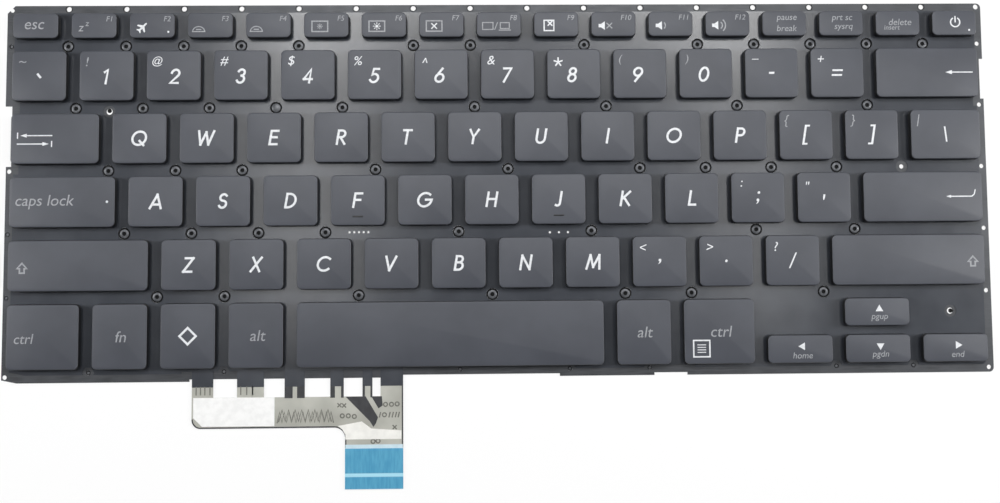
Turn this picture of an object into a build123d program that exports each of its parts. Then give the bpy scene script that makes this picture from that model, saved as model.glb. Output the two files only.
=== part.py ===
from build123d import *
from collections import namedtuple
from math import asin, atan2, cos, hypot, sin
import os

os.makedirs("parts", exist_ok=True)

# Laptop replacement keyboard, in millimetres: X to the right, Y away from the typist, Z up.
# The origin is the middle of the key field, on the plate's flat underside.

# The key field, in key pitches across and in rows front to back
key_pitch = 19.05
row_pitch = 18.0
function_row_depth = 10.9
bottom_row_depth = 21.9
field_units = 14.75
tab_units = 1.5
caps_lock_units = 1.75
left_shift_units = 2.25
ctrl_units = 1.25
space_units = 4.75

# Base plate and membrane
side_rim = 1.0
front_rim = 1.4
rear_rim = 1.0
plate_thickness = 0.4
plate_corner = 1.35
open_corner = 2.2
front_corner = (4.3, 0.9)
front_lip = 0.65
front_lip_end = -88.3
left_step = 0.45
membrane_thickness = 0.2
membrane_inset = 2.2
left_notch_depth = 1.9
right_notch_depth = 1.0
front_notch_depth = 0.75
rivet_hole_radius = 0.65
rivet_ring_radius = 1.75
rivet_edge_distance = 1.35
rear_hole_radius = 0.75
rear_hole_distance = 1.0
screw_hole_radius = 0.9
front_rivet_places = (-11.7, 19.6, 42.4)
front_notches = ((-27.9, 16.7), (43.7, 53.2))

# Keycaps
key_gap = 3.5
arrow_gap = 2.3
cap_height = 1.9
cap_roof = 0.8
cap_wall = 0.9
cap_corner = 0.9
cap_draft = 4.0
key_travel = 1.2
press_clearance = 0.2
homing_bar_length = 3.0
homing_bar_width = 0.45
homing_bar_height = 0.15
homing_bar_inset = 2.6

# What lifts a key: a rubber dome inside two crossed scissor frames, and a wire under wide keys
dome_radius = 2.3
small_dome_radius = 1.05
dome_draft = 12.0
frame_thickness = 0.6
frame_bar = 0.9
small_frame_bar = 0.5
frame_clearance = 0.3
frame_play = 0.05
wire_lane = 1.7
wire_thickness = 0.6
wire_leg = 4.5
wire_foot = 1.4
wire_clearance = 0.3

# Film tail at the front edge
tail_left = -87.5
tail_right = -27.9
tail_reach = 31.05
tail_band_top = 5.2
tail_band_depth = 8.65
tail_neck_width = 16.4
tail_outer_corner = 2.5
tail_inner_corner = 3.0
finger_centres = (-84.5, -71.0, -58.55, -46.6, -38.0, -31.1)
finger_widths = (6.0, 7.6, 5.7, 3.8, 2.8, 6.4)
label_width = 22.85
label_depth = 8.05
label_inset = 0.45
label_thickness = 0.1
stiffener_length = 11.3
stiffener_thickness = 0.2

# Heights of the stack
film_top = plate_thickness + membrane_thickness
skirt_height = film_top + press_clearance + key_travel
roof_height = skirt_height + cap_height - cap_roof
lift_height = roof_height - film_top

# Extent of the key field and of the plate that carries it
field_width = field_units * key_pitch
field_depth = function_row_depth + 4 * row_pitch + bottom_row_depth
plate_width = field_width + 2 * side_rim
rear_edge = field_depth / 2 + rear_rim
front_edge = -field_depth / 2 - front_rim
number_line = field_depth / 2 - function_row_depth
upper_line = number_line - row_pitch
home_line = upper_line - row_pitch
lower_line = home_line - row_pitch
bottom_line = lower_line - row_pitch

Key = namedtuple("Key", "name x y width depth")


def lay_row(names, units, back_line, depth):
    """One row of keys from the left end of the field, each in a slot of so many key pitches."""
    keys = []
    left = -field_width / 2
    for name, unit in zip(names, units):
        slot = unit * key_pitch
        keys.append(Key(name, left + slot / 2, back_line - depth / 2, slot - key_gap, depth - key_gap))
        left += slot
    return keys


function_names = ["esc"] + [f"f{n}" for n in range(1, 13)] + ["pause", "print", "delete", "power"]
number_names = ["backtick", "1", "2", "3", "4", "5", "6", "7", "8", "9", "0", "minus", "equal", "backspace"]
upper_names = ["tab", *"qwertyuiop", "left_bracket", "right_bracket", "backslash"]
home_names = ["caps_lock", *"asdfghjkl", "semicolon", "quote", "enter"]
lower_names = ["left_shift", *"zxcvbnm", "comma", "period", "slash", "right_shift"]
bottom_names = ["left_ctrl", "fn", "plain", "left_alt", "space", "right_alt", "right_ctrl"]

# The last key of a row fills what is left of the field, and three arrow columns share the front row's end
function_units = [field_units / len(function_names)] * len(function_names)
number_units = [1] * 13 + [field_units - 13]
upper_units = [tab_units] + [1] * 12 + [field_units - 12 - tab_units]
home_units = [caps_lock_units] + [1] * 11 + [field_units - 11 - caps_lock_units]
lower_units = [left_shift_units] + [1] * 10 + [field_units - 10 - left_shift_units]
bottom_units = [ctrl_units, 1, 1, 1, space_units, 1, ctrl_units]
arrow_units = (field_units - sum(bottom_units)) / 3

function_row = lay_row(function_names, function_units, field_depth / 2, function_row_depth)
number_row = lay_row(number_names, number_units, number_line, row_pitch)
upper_row = lay_row(upper_names, upper_units, upper_line, row_pitch)
home_row = lay_row(home_names, home_units, home_line, row_pitch)
lower_row = lay_row(lower_names, lower_units, lower_line, row_pitch)
bottom_row = lay_row(bottom_names, bottom_units, bottom_line, bottom_row_depth)

# Half-height arrow keys: up stands behind down, and left and right stand beside down
arrow_slot = arrow_units * key_pitch
arrow_depth = (bottom_row_depth - key_gap - arrow_gap) / 2
arrow_front = bottom_line - bottom_row_depth + key_gap / 2 + arrow_depth / 2
arrow_back = bottom_line - key_gap / 2 - arrow_depth / 2
arrow_middle = field_width / 2 - 1.5 * arrow_slot
arrow_keys = [
    Key("arrow_left", arrow_middle - arrow_slot, arrow_front, arrow_slot - key_gap, arrow_depth),
    Key("arrow_up", arrow_middle, arrow_back, arrow_slot - key_gap, arrow_depth),
    Key("arrow_down", arrow_middle, arrow_front, arrow_slot - key_gap, arrow_depth),
    Key("arrow_right", arrow_middle + arrow_slot, arrow_front, arrow_slot - key_gap, arrow_depth),
]

full_keys = number_row + upper_row + home_row + lower_row + bottom_row
small_keys = function_row + arrow_keys
wide_keys = [key for key in full_keys if key.name in (
    "backspace", "caps_lock", "enter", "left_shift", "right_shift", "space")]


def seam(row, index):
    """X of the seam between a row's key of this index and the next key."""
    return row[index].x + (row[index].width + key_gap) / 2


# Rivet holes lie on the seams between keys, along the lines between rows and along the rims
rim_x = plate_width / 2 - rivet_edge_distance
front_line = front_edge + front_notch_depth + rivet_edge_distance
inner_rivets = (
    [(seam(function_row, i), number_line) for i in (0, 1, 2, 3, 4, 6, 7, 9, 11, 12, 13, 14, 15)]
    + [(seam(number_row, i), upper_line) for i in (0, 1, 2, 3, 4, 6, 8, 10, 12)]
    + [(seam(upper_row, i), home_line) for i in (0, 1, 2, 4, 6, 8, 9, 10, 11, 12)]
    + [(seam(home_row, i), lower_line) for i in (0, 1, 2, 3, 5, 7, 11)]
    + [(seam(lower_row, 9), lower_line)]
    + [(seam(lower_row, i), bottom_line) for i in (0, 1, 3, 5, 7, 8, 10)]
)
front_rivets = (
    [(seam(bottom_row, i), front_line) for i in (0, 2)]
    + [(x, front_line) for x in front_rivet_places]
    + [(seam(arrow_keys, i), front_line) for i in (0, 2)]
)
side_rivets = (
    [(-rim_x, line) for line in (home_line, lower_line)]
    + [(rim_x, line) for line in (upper_line, home_line, lower_line)]
    + [(-rim_x, rear_edge - rivet_edge_distance), (rim_x, front_edge + rivet_edge_distance)]
    + [(-rim_x, front_edge + rivet_edge_distance - front_lip / 2)]
)
rear_line = rear_edge - rear_hole_distance
rear_holes = [(seam(function_row, i), rear_line) for i in range(16)] + [(rim_x, rear_line)]
screw_holes = [
    (seam(upper_row, 0), upper_line - screw_hole_radius),
    (arrow_middle + arrow_slot, arrow_back),
]
fixing_holes = [(x, y) for x in (-rim_x, rim_x) for y in (number_line, bottom_line)]


def panel_outline(inset):
    """Stepped outline of the plate, drawn smaller by an inset for the film that lies on it."""
    left, right = inset - plate_width / 2, plate_width / 2 - inset
    back, front = rear_edge - inset, front_edge + inset
    left_notch = (upper_line + front_notch_depth + inset, home_line + rivet_edge_distance - inset)
    right_notch = (number_line - row_pitch / 4 + inset, upper_line + rivet_ring_radius - inset)
    corners = [(left + open_corner, back), (right, back)]
    corners += [(right, right_notch[0]), (right - right_notch_depth, right_notch[0])]
    corners += [(right - right_notch_depth, right_notch[1]), (right, right_notch[1]), (right, front)]
    for notch_left, notch_right in reversed(front_notches):
        corners += [(notch_right + inset, front), (notch_right + inset, front + front_notch_depth)]
        corners += [(notch_left - inset, front + front_notch_depth), (notch_left - inset, front)]
    corners += [(front_lip_end - inset, front), (front_lip_end - inset, front - front_lip)]
    corners += [(left + left_step + front_corner[0], front - front_lip)]
    corners += [(left + left_step, front - front_lip + front_corner[1]), (left + left_step, left_notch[1])]
    corners += [(left + left_notch_depth, left_notch[1]), (left + left_notch_depth, left_notch[0])]
    corners += [(left, left_notch[0]), (left, back - open_corner)]
    Polygon(*corners)
    fillet([vertices().sort_by_distance((right, y))[0] for y in (back, front)], plate_corner)


# Base plate: one stamped sheet, with round holes at the four fixing points and six-sided pierced ones
with BuildPart() as base_plate:
    with BuildSketch():
        panel_outline(0)
        with Locations(*inner_rivets, *front_rivets, *side_rivets):
            RegularPolygon(rivet_hole_radius, 6, mode=Mode.SUBTRACT)
        with Locations(*rear_holes):
            RegularPolygon(rear_hole_radius, 6, mode=Mode.SUBTRACT)
        with Locations(*screw_holes):
            RegularPolygon(screw_hole_radius, 6, mode=Mode.SUBTRACT)
        with Locations(*fixing_holes):
            Circle(rivet_hole_radius, mode=Mode.SUBTRACT)
    extrude(amount=plate_thickness)
base_plate.part.label = "base_plate"
export_step(base_plate.part, "parts/base_plate.step")

# Membrane: a dark film inside the plate's rim holes, cleared round the others, and its tail past the front edge
band_top = front_edge - tail_band_top
band_front = band_top - tail_band_depth
tail_end = front_edge - tail_reach
neck_left = tail_right - tail_neck_width
finger_length = tail_band_top + front_notch_depth + 2 * membrane_inset
label_left = tail_left + label_inset
with BuildPart() as membrane:
    with BuildSketch(Plane.XY.offset(plate_thickness)):
        panel_outline(membrane_inset)
        with Locations(*inner_rivets, *front_rivets, *screw_holes):
            RegularPolygon(rivet_ring_radius, 6, mode=Mode.SUBTRACT)
    extrude(amount=membrane_thickness)
    with BuildSketch(Plane.XY.offset(plate_thickness)):
        with BuildLine():
            FilletPolyline((tail_left, band_top), (tail_left, band_front), (neck_left, band_front),
                           (neck_left, tail_end), radius=(tail_outer_corner, tail_inner_corner))
            Polyline((neck_left, tail_end), (tail_right, tail_end), (tail_right, band_top), (tail_left, band_top))
        make_face()
        for centre, width in zip(finger_centres, finger_widths):
            with Locations((centre, band_top)):
                Rectangle(width, finger_length, align=(Align.CENTER, Align.MIN))
    extrude(amount=membrane_thickness)
membrane.part.label = "membrane"
export_step(membrane.part, "parts/membrane.step")

# Blank paper label on the tail's band
with BuildPart() as tail_label:
    with BuildSketch(Plane.XY.offset(film_top)):
        with Locations((label_left, band_top)):
            Rectangle(label_width, label_depth, align=(Align.MIN, Align.MAX))
        chamfer(vertices().group_by(Axis.X)[0].sort_by(Axis.Y)[0], tail_outer_corner)
    extrude(amount=label_thickness)
tail_label.part.label = "tail_label"
export_step(tail_label.part, "parts/tail_label.step")

# Stiffener glued on the tail's contact end
with BuildPart() as tail_stiffener:
    with BuildSketch(Plane.XY.offset(film_top)):
        with Locations((tail_right, tail_end)):
            Rectangle(tail_neck_width, stiffener_length, align=(Align.MAX, Align.MIN))
    extrude(amount=stiffener_thickness)
tail_stiffener.part.label = "tail_stiffener"
export_step(tail_stiffener.part, "parts/tail_stiffener.step")

# Rubber domes, from the film up to the roof of each keycap
with BuildPart() as rubber_domes:
    with BuildSketch(Plane.XY.offset(film_top)):
        with Locations(*[(key.x, key.y) for key in full_keys]):
            RegularPolygon(dome_radius, 6)
        with Locations(*[(key.x, key.y) for key in small_keys]):
            RegularPolygon(small_dome_radius, 6)
    extrude(amount=lift_height, taper=dome_draft)
rubber_domes.part.label = "rubber_domes"
export_step(rubber_domes.part, "parts/rubber_domes.step")

# Scissor frames: a closed outer frame and an open inner one, leaning opposite ways between film and roof
frame_length = function_row[0].width - 2 * cap_wall - 2 * frame_clearance


def lean(length, thickness):
    """Angle at which a flat bar of this length and thickness just spans the height under a key."""
    return asin((lift_height - 2 * frame_play) / hypot(length, thickness)) - atan2(thickness, length)


def frame_plane(key, side):
    """Plane through the pivot of a key's scissor, leaning to the right or to the left."""
    angle = side * lean(frame_length, frame_thickness)
    pivot = (key.x, key.y, film_top + lift_height / 2)
    return Plane(pivot, x_dir=(cos(angle), 0, sin(angle)), z_dir=(-sin(angle), 0, cos(angle)))


def frame_sizes(key):
    """Width and bar of a key's outer frame, which leaves a lane for a wire under full-height keys."""
    small = key in small_keys
    lane = frame_clearance if small else wire_lane
    return key.depth - 2 * cap_wall - 2 * lane, small_frame_bar if small else frame_bar


with BuildPart() as scissor_outer_frames:
    for key in full_keys + small_keys:
        width, bar = frame_sizes(key)
        with BuildSketch(frame_plane(key, 1)):
            Rectangle(frame_length, width)
            Rectangle(frame_length - 2 * bar, width - 2 * bar, mode=Mode.SUBTRACT)
    extrude(amount=frame_thickness / 2, both=True)
scissor_outer_frames.part.label = "scissor_outer_frames"
export_step(scissor_outer_frames.part, "parts/scissor_outer_frames.step")

with BuildPart() as scissor_inner_frames:
    for key in full_keys + small_keys:
        outer_width, bar = frame_sizes(key)
        width = outer_width - 2 * bar - frame_clearance
        with BuildSketch(frame_plane(key, -1)):
            Rectangle(frame_length, width)
            with Locations((bar, 0)):
                Rectangle(frame_length, width - 2 * bar, mode=Mode.SUBTRACT)
    extrude(amount=frame_thickness / 2, both=True)
scissor_inner_frames.part.label = "scissor_inner_frames"
export_step(scissor_inner_frames.part, "parts/scissor_inner_frames.step")

# Stabiliser wires: a long bar behind the scissor with two legs that lean down to turned-in feet
wire_angle = lean(wire_leg, wire_thickness)
with BuildPart() as stabiliser_wires:
    for key in wide_keys:
        length = key.width - 2 * cap_wall - 2 * wire_clearance
        bar_y = key.y + key.depth / 2 - cap_wall - wire_clearance
        middle = (key.x, bar_y - wire_leg / 2, film_top + lift_height / 2)
        with BuildSketch(Plane(middle, x_dir=(1, 0, 0), z_dir=(0, -sin(wire_angle), cos(wire_angle)))):
            Rectangle(length, wire_leg)
            Rectangle(length - 2 * wire_thickness, wire_leg - 2 * wire_thickness, mode=Mode.SUBTRACT)
            with Locations((0, -wire_leg / 2)):
                Rectangle(length - 2 * wire_foot, 2 * wire_thickness, mode=Mode.SUBTRACT)
    extrude(amount=wire_thickness / 2, both=True)
stabiliser_wires.part.label = "stabiliser_wires"
export_step(stabiliser_wires.part, "parts/stabiliser_wires.step")


# Keycaps: one group for each of the two rear rows, and one cap on its own slide for every other key.
# A bar near the front edge of F and of J tells the fingers where they are.
cap_groups = [("function_row_keys", function_row), ("number_row_keys", number_row)]
cap_groups += [(f"key_{key.name}", [key]) for key in upper_row + home_row + lower_row + bottom_row + arrow_keys]
for name, keys in cap_groups:
    with BuildPart() as caps:
        for key in keys:
            with BuildSketch(Plane.XY.offset(skirt_height)):
                with Locations((key.x, key.y)):
                    Rectangle(key.width, key.depth)
                chamfer(vertices(), cap_corner)
        extrude(amount=cap_height, taper=cap_draft)
        with BuildSketch(Plane.XY.offset(skirt_height)):
            for key in keys:
                with Locations((key.x, key.y)):
                    Rectangle(key.width - 2 * cap_wall, key.depth - 2 * cap_wall)
        extrude(amount=cap_height - cap_roof, mode=Mode.SUBTRACT)
        for key in keys:
            if key.name in ("f", "j"):
                with Locations((key.x, key.y - key.depth / 2 + homing_bar_inset, skirt_height + cap_height)):
                    Box(homing_bar_length, homing_bar_width, homing_bar_height,
                        align=(Align.CENTER, Align.CENTER, Align.MIN))
    caps.part.label = name
    export_step(caps.part, f"parts/{name}.step")
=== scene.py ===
# %% [markdown]
# # A laptop replacement keyboard
# The keyboard lies on a white table, photographed from above: a thin dark plate with 81 flat keys and a
# grey film tail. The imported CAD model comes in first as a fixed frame. Every piece below is built round its
# solids, in metres, so nothing is fitted by eye afterwards.

# %% Load the frame
from collections import Counter
from math import cos, hypot, pi, radians, sin

import bmesh
import bpy
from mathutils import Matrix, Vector
from mathutils.geometry import delaunay_2d_cdt


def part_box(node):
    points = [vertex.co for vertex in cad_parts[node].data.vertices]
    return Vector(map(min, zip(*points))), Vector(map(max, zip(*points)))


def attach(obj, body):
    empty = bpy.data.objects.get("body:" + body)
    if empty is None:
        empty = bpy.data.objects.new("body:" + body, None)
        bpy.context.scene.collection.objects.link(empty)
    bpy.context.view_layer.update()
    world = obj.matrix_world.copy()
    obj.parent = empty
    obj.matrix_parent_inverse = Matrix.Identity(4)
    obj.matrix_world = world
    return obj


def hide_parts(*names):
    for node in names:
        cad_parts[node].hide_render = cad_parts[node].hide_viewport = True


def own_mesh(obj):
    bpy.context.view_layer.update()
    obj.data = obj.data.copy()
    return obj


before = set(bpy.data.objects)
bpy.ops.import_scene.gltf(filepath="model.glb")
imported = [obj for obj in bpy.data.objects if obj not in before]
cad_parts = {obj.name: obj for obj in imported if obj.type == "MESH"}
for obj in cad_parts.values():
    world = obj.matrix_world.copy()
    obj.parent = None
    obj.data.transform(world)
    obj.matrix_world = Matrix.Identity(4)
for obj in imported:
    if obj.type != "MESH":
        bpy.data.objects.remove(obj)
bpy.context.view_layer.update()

mm = 0.001
scene = bpy.context.scene

# %% [markdown]
# ## The camera
# The photograph looks almost straight down, from about 35 cm, a little left of the middle and in front of it.
# Keys on the left show their right walls and keys on the right their left walls, so the lens stays close and
# the camera leans only a few degrees. The picture was cut above the optical axis, which needs a small shift.

# %% Camera above the keys
photo_width = 1000
photo_height = 503
lens_in_pixels = 1219.0
axis_row = 180.0
camera_place = Vector((-8.1, -24.25, 350.3)) * mm
camera_lean = (4.33, -1.33, -0.35)

lens = bpy.data.cameras.new("photo_camera")
lens.lens = lens_in_pixels * lens.sensor_width / photo_width
lens.shift_y = (axis_row - photo_height / 2) / photo_width
lens.clip_start = 0.01
camera = bpy.data.objects.new("photo_camera", lens)
camera.location = camera_place
camera.rotation_mode = "ZYX"
camera.rotation_euler = [radians(angle) for angle in camera_lean]
scene.collection.objects.link(camera)
scene.camera = camera
print("lens", round(lens.lens, 1), "mm, shift", round(lens.shift_y, 3))

# %% [markdown]
# ## Finishes
# Every surface on the keyboard is dull and fine-grained, and none is one flat colour. A small class adds
# shader nodes by name. One function gives the common part: two close colours in soft patches, and a fine
# grain that drives both roughness and bump. Texture sizes are in millimetres, because the pieces' own
# coordinates are metres.

# %% A grained finish
bump_strength = 0.6
grain_swing = 0.07


def linear(red, green, blue):
    """Screen colour, 0 to 255, as the linear colour that a shader takes."""
    shares = [c / 255 for c in (red, green, blue)]
    return tuple(s / 12.92 if s < 0.04045 else ((s + 0.055) / 1.055) ** 2.4 for s in shares) + (1,)


class Finish:
    """A Principled material with its node tree at hand."""

    def __init__(self, name):
        self.material = bpy.data.materials.new(name)
        self.material.use_nodes = True
        self.tree = self.material.node_tree
        self.shader = self.tree.nodes["Principled BSDF"]

    def fill(self, node, inputs):
        """Gives inputs of a node a value each, or the output of another node."""
        for name, value in inputs.items():
            if isinstance(value, bpy.types.NodeSocket):
                self.tree.links.new(value, node.inputs[name])
            else:
                node.inputs[name].default_value = value

    def node(self, kind, inputs={}, **settings):
        made = self.tree.nodes.new("ShaderNode" + kind)
        for name, value in settings.items():
            setattr(made, name, value)
        self.fill(made, inputs)
        return made

    def math(self, operation, *values):
        return self.node("Math", dict(enumerate(values)), operation=operation).outputs[0]

    def place(self):
        return self.node("TexCoord").outputs["Object"]

    def noise(self, size_mm, detail=2.0, stretch=(1, 1, 1)):
        """Noise whose spots are about so many millimetres across, longer where stretch is below 1."""
        fit = self.node("Mapping", {"Vector": self.place(), "Scale": stretch}).outputs[0]
        spots = self.node("TexNoise", {"Vector": fit, "Scale": 1 / (size_mm * mm), "Detail": detail})
        return spots.outputs["Fac"]

    def spread(self, value, low, high, low_in=0.35, high_in=0.65):
        """A 0 to 1 value mapped to a range of numbers."""
        ends = {"From Min": low_in, "From Max": high_in, "To Min": low, "To Max": high}
        return self.node("MapRange", {"Value": value, **ends}).outputs[0]

    def mix(self, factor, first, second):
        """Colour between two colours or sockets. A Mix node keeps its colours in inputs 6 and 7."""
        return self.node("Mix", {0: factor, 6: first, 7: second}, data_type="RGBA").outputs[2]

    def blend(self, spots, dark, light):
        """Screen colour that goes from dark to light with a noise."""
        return self.mix(self.spread(spots, 0, 1), linear(*dark), linear(*light))

    def band(self, axis, low, high):
        """1 where the piece's coordinate on this axis lies between two places in mm, else 0."""
        along = self.node("SeparateXYZ", {0: self.place()}).outputs[axis]
        return self.math("COMPARE", along, (low + high) / 2 * mm, (high - low) / 2 * mm)

    def surface(self, colour, grain, dull, depth_mm, more={}):
        """Puts on a colour, roughness between two values, bump and any other inputs."""
        bump = self.node("Bump", {"Strength": bump_strength, "Distance": depth_mm * mm, "Height": grain})
        self.fill(self.shader, {"Base Color": colour, "Roughness": self.spread(grain, *dull),
                                "Normal": bump.outputs[0], **more})
        return self.material


def grained(name, dark, light, patch_mm, grain_mm, depth_mm, dull, more={}):
    """Two close colours in soft patches, with fine grain in roughness and bump."""
    finish = Finish(name)
    colour = finish.blend(finish.noise(patch_mm), dark, light)
    ends = (dull - grain_swing, dull + grain_swing)
    return finish.surface(colour, finish.noise(grain_mm), ends, depth_mm, more)


print("finish helper ready")

# %% [markdown]
# ## Table and light
# The table is a plain white sheet with upright white walls far off, like a photographer's booth. What is seen
# of it is a mix: the light that the lamps throw on it, so that the part keeps a soft shadow, and a white glow
# that only the camera and reflections see, so that the background is white without more light on the keys.

# %% White table
scene.view_settings.view_transform = "Standard"
sheet_white = (0.9, 0.9, 0.9, 1)
sheet_dull = 0.9
table_glow = 0.75


def white_table():
    finish = Finish("white_table")
    finish.fill(finish.shader, {"Base Color": sheet_white, "Roughness": sheet_dull})
    rays = finish.node("LightPath").outputs
    seen = finish.math("MAXIMUM", rays["Is Camera Ray"], rays["Is Glossy Ray"])
    seen = finish.math("MAXIMUM", seen, rays["Is Transmission Ray"])
    glow = finish.node("Emission").outputs[0]
    share = finish.math("MULTIPLY", seen, table_glow)
    both = finish.node("MixShader", {0: share, 1: finish.shader.outputs[0], 2: glow})
    finish.fill(finish.tree.nodes["Material Output"], {"Surface": both.outputs[0]})
    return finish.material


table_half = 2.0
wall_height = 1.5
table_drop = 0.02 * mm
table_mesh = bpy.data.meshes.new("table")
corners = [(right * table_half, back * table_half) for right, back in ((-1, -1), (1, -1), (1, 1), (-1, 1))]
floor = [(x, y, -table_drop) for x, y in corners]
wall_tops = [(x, y, wall_height) for x, y in corners]
walls = [(i, (i + 1) % 4, (i + 1) % 4 + 4, i + 4) for i in range(4)]
table_mesh.from_pydata(floor + wall_tops, [], [(0, 1, 2, 3)] + walls)
table_mesh.materials.append(white_table())
table = bpy.data.objects.new("table", table_mesh)
scene.collection.objects.link(table)
print("table", 2 * table_half, "m wide")

# %% [markdown]
# In the photograph keys at the left end throw their shadow to the right, those at the right end to the left,
# and all of them a short one to the front. The back rows are brightest. So two soft panels behind the
# keyboard are the main light, a low panel stands off each end, and the room is nearly dark. Two narrow strips
# overhead add little light, but the film between the keys mirrors them as two bright streaks.

# %% Soft lamps and a dim room
def soft_lamp(name, place, aim, size, watts, spread=180):
    data = bpy.data.lights.new(name, "AREA")
    data.shape = "RECTANGLE"
    data.size, data.size_y = size
    data.energy = watts
    data.spread = radians(spread)
    lamp = bpy.data.objects.new(name, data)
    lamp.location = place
    lamp.rotation_euler = (Vector(aim) - Vector(place)).to_track_quat("-Z", "Y").to_euler()
    scene.collection.objects.link(lamp)


soft_lamp("rear_left_panel", (-0.10, 0.24, 0.62), (-0.04, 0, 0), (0.18, 0.14), 1.10)
soft_lamp("rear_right_panel", (0.16, 0.24, 0.62), (0.07, 0, 0), (0.18, 0.14), 1.22)
soft_lamp("left_panel", (-0.46, 0.04, 0.35), (-0.05, 0, 0), (0.08, 0.26), 0.62, 120)
soft_lamp("right_panel", (0.46, 0.02, 0.35), (0.05, 0, 0), (0.08, 0.26), 0.74, 120)
soft_lamp("left_strip", (-0.14, 0.06, 0.60), (-0.14, 0.06, 0), (0.09, 0.26), 0.38)
soft_lamp("right_strip", (0.21, 0.06, 0.60), (0.21, 0.06, 0), (0.08, 0.26), 0.30)

room_strength = 0.02
room = bpy.data.worlds.new("room")
room.use_nodes = True
scene.world = room
dim_light = room.node_tree.nodes["Background"]
dim_light.inputs["Color"].default_value = (1, 1, 1, 1)
dim_light.inputs["Strength"].default_value = room_strength

# %% [markdown]
# ## Reading the solids
# The CAD nodes hold the true outlines. Two readers take them from the frame: one lists the separate solids of
# a node, which the key rows and the parts under the keys need, and one walks the loops round a flat sheet,
# which gives the plate's stepped edge and the centre of every hole.

# %% Solids and loops of a CAD node
weld = 0.0001 * mm


def welded(node):
    """The node's mesh with its split corners joined again."""
    mesh = bmesh.new()
    mesh.from_mesh(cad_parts[node].data)
    bmesh.ops.remove_doubles(mesh, verts=mesh.verts, dist=weld)
    return mesh


class Solid:
    """One closed solid of a node: its points, faces and box."""

    def __init__(self, verts):
        number = {vert: i for i, vert in enumerate(verts)}
        self.points = [vert.co.copy() for vert in verts]
        faces = {face for vert in verts for face in vert.link_faces}
        ordered = sorted(faces, key=lambda face: face.index)
        self.faces = [[number[vert] for vert in face.verts] for face in ordered]
        self.low = Vector(map(min, *self.points))
        self.high = Vector(map(max, *self.points))
        self.middle = (self.low + self.high) / 2


def solids(node):
    """Separate solids of a node, from left to right."""
    mesh = welded(node)
    mesh.faces.index_update()
    found, seen = [], set()
    for start in mesh.verts:
        if start in seen:
            continue
        group, waiting = [], [start]
        seen.add(start)
        while waiting:
            vert = waiting.pop()
            group.append(vert)
            for edge in vert.link_edges:
                other = edge.other_vert(vert)
                if other not in seen:
                    seen.add(other)
                    waiting.append(other)
        found.append(Solid(group))
    mesh.free()
    return sorted(found, key=lambda solid: solid.middle.x)


def loops(node):
    """Closed loops of (x, y) points round a flat sheet's top, the outer edge first."""
    mesh = welded(node)
    level = [face for face in mesh.faces if abs(face.normal.z) > 0.5]
    bmesh.ops.delete(mesh, geom=level, context="FACES")
    top = max(vert.co.z for vert in mesh.verts)
    rim = {edge for edge in mesh.edges if edge.is_boundary and min(v.co.z for v in edge.verts) > top - weld}
    found = []
    while rim:
        edge = min(rim, key=lambda e: tuple(e.verts[0].co))
        vert = edge.verts[0]
        loop = []
        while edge:
            rim.discard(edge)
            loop.append((vert.co.x, vert.co.y))
            vert = edge.other_vert(vert)
            edge = next((e for e in vert.link_edges if e in rim), None)
        found.append(loop)
    mesh.free()
    return sorted(found, key=lambda loop: min(x for x, y in loop) - max(x for x, y in loop))


def hole(loop):
    """Centre and radius of a small loop."""
    x, y = (sum(values) / len(loop) for values in zip(*loop))
    return x, y, max(hypot(px - x, py - y) for px, py in loop)


plate_loops = loops("base_plate")
film_loops = loops("membrane")
plate_low, plate_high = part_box("base_plate")
film_low, film_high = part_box("membrane")
print("plate holes", len(plate_loops) - 1, "film holes", len(film_loops) - 1)

# %% [markdown]
# ## Making pieces
# A piece is a mesh with its finishes, carried by a body of the frame. One function adds it, hangs it on its
# body and hides the CAD solids that it stands for, so that no piece is left without a carrier.

# %% Add a piece
sharp_angle = 40


def add_piece(name, mesh, finishes, body, slot, *nodes):
    """Object from a mesh, riding on a body and standing for CAD nodes."""
    for finish in finishes:
        mesh.materials.append(finish)
    piece = bpy.data.objects.new(name, mesh)
    scene.collection.objects.link(piece)
    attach(piece, body)
    if nodes:
        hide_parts(*nodes)
    return piece


def mesh_from(build, name):
    """Mesh of a finished bmesh, smooth apart from its sharp edges."""
    bmesh.ops.recalc_face_normals(build, faces=build.faces)
    mesh = bpy.data.meshes.new(name)
    build.to_mesh(mesh)
    build.free()
    mesh.set_sharp_from_angle(angle=radians(sharp_angle))
    return mesh


def skin(build, rings, finishes=None, ends=True):
    """Smooth faces between rings of points, and flat ones over both ends. A ring may be a single point."""
    rings = [[build.verts.new(point) for point in ring] for ring in rings]
    for number, (lower, upper) in enumerate(zip(rings, rings[1:])):
        for i in range(max(len(lower), len(upper))):
            steps = ((lower, i - 1), (lower, i), (upper, i), (upper, i - 1))
            corners = [ring[step % len(ring)] for ring, step in steps]
            face = build.faces.new(list(dict.fromkeys(corners)))
            face.smooth = True
            face.material_index = finishes[number] if finishes else 0
    if ends:
        for flat in (rings[0], rings[-1]):
            build.faces.new(flat)
    return rings


# %% [markdown]
# ## Base plate and film
# Both are flat sheets with many holes. Their loops come from the solids, and each six-sided CAD hole becomes
# a round one of the same size. A constrained triangulation fills such a sheet in one step: it keeps every
# edge of the loops and says which loops each triangle lies in, so those inside a hole are left out. The top
# is copied for the underside, and walls close the open edges.

# %% Pierced sheets
hole_steps = 28
round_share = 0.97


def ring_points(x, y, radius, steps=hole_steps):
    turns = [2 * pi * i / steps for i in range(steps)]
    return [(x + radius * cos(turn), y + radius * sin(turn)) for turn in turns]


def turned_left(loop):
    """The loop's points in millimetres, going round anticlockwise."""
    area = sum(loop[i - 1][0] * y - loop[i - 1][1] * x for i, (x, y) in enumerate(loop))
    return [Vector((x / mm, y / mm)) for x, y in (loop if area > 0 else loop[::-1])]


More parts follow.
